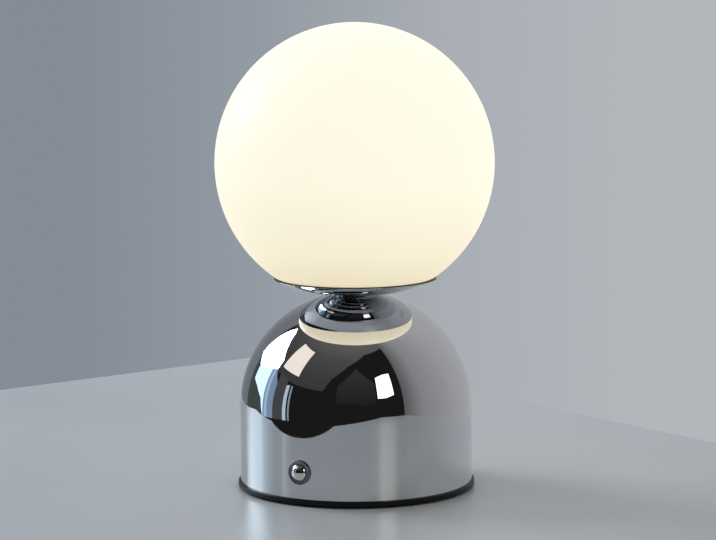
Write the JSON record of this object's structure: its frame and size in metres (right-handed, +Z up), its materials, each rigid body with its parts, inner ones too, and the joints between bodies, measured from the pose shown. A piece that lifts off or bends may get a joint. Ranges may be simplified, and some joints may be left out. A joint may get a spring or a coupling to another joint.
{
  "type": "globe table lamp",
  "caption": "Cordless table lamp: an opal glass globe rests in a shallow chromed saucer on a chromed drum with a domed top, a push button and a charging port.",
  "frame": {"origin": "centre of the foot ring's underside, on the table", "axes": "+Z up through the globe's middle; -Y is the front with the button; +Y is the back with the charging port"},
  "size_m": [0.12, 0.12, 0.2005],
  "materials": {
    "rubber_foot": "matte",
    "black_plate": "satin",
    "mirror_chrome": "mirror polished",
    "satin_ring": "satin",
    "opal_glass": "glossy opal",
    "seat_silicone": "matte",
    "opal_diffuser": "satin",
    "zinc_steel": "plated",
    "ballast_steel": "oiled",
    "sink_aluminium": "machined",
    "chassis_plastic": "moulded",
    "cell_wrap": "shrink sleeve",
    "foam": "foam",
    "board_green": "solder mask",
    "board_white": "white mask",
    "black_parts": "moulded",
    "capacitor_cans": "sleeved",
    "header_white": "moulded",
    "light_chip": "phosphor",
    "clear_pipe": "clear",
    "lead_sleeve": "sleeve"
  },
  "bodies": {
    "base": {"foot_pad": "rubber_foot", "base_plate": "black_plate", "base_screws": "zinc_steel", "dome_shell": "mirror_chrome", "shell_lugs": "zinc_steel", "ballast_disc": "ballast_steel", "chassis": "chassis_plastic", "chassis_screws": "zinc_steel", "battery_cells": "cell_wrap", "battery_contacts": "zinc_steel", "battery_foam": "foam", "main_board": "board_green", "main_board_screws": "zinc_steel", "driver_inductor": "black_parts", "driver_capacitors": "capacitor_cans", "driver_chips": "black_parts", "wire_headers": "header_white", "charge_board": "board_green", "charge_board_screws": "zinc_steel", "usb_shell": "zinc_steel", "usb_tongue": "black_parts", "port_bezel": "black_parts", "indicator_lens": "clear_pipe", "indicator_led": "clear_pipe", "charge_chips": "black_parts", "button_bezel": "satin_ring", "button_washer": "zinc_steel", "button_nut": "zinc_steel", "button_spring": "zinc_steel", "switch_body": "black_parts", "switch_board": "board_green", "switch_screws": "zinc_steel", "nipple": "zinc_steel", "lower_washer": "zinc_steel", "lower_nut": "zinc_steel", "neck_collar": "mirror_chrome", "upper_washer": "zinc_steel", "upper_nut": "zinc_steel", "saucer": "mirror_chrome", "globe_seat": "seat_silicone", "heat_sink": "sink_aluminium", "led_board": "board_white", "led_board_screws": "zinc_steel", "led_chips": "light_chip", "diffuser": "opal_diffuser", "led_cable": "lead_sleeve", "battery_leads": "lead_sleeve", "switch_leads": "lead_sleeve", "charge_leads": "lead_sleeve"},
    "button": {"button_cap": "mirror_chrome", "button_clip": "zinc_steel", "switch_plunger": "header_white"},
    "globe": {"glass_globe": "opal_glass"}
  },
  "joints": [
    {"name": "button_press", "type": "slide", "parent": "base", "child": "button", "axis": [0, 1, 0], "range_m": [0, 0.0008], "stiffness_N_per_m": 900, "springref_m": -0.001, "deforming": ["button_spring"]},
    {"name": "globe_lift", "type": "slide", "parent": "base", "child": "globe", "axis": [0, 0, 1], "range_m": [0, 0.045]}
  ]
}
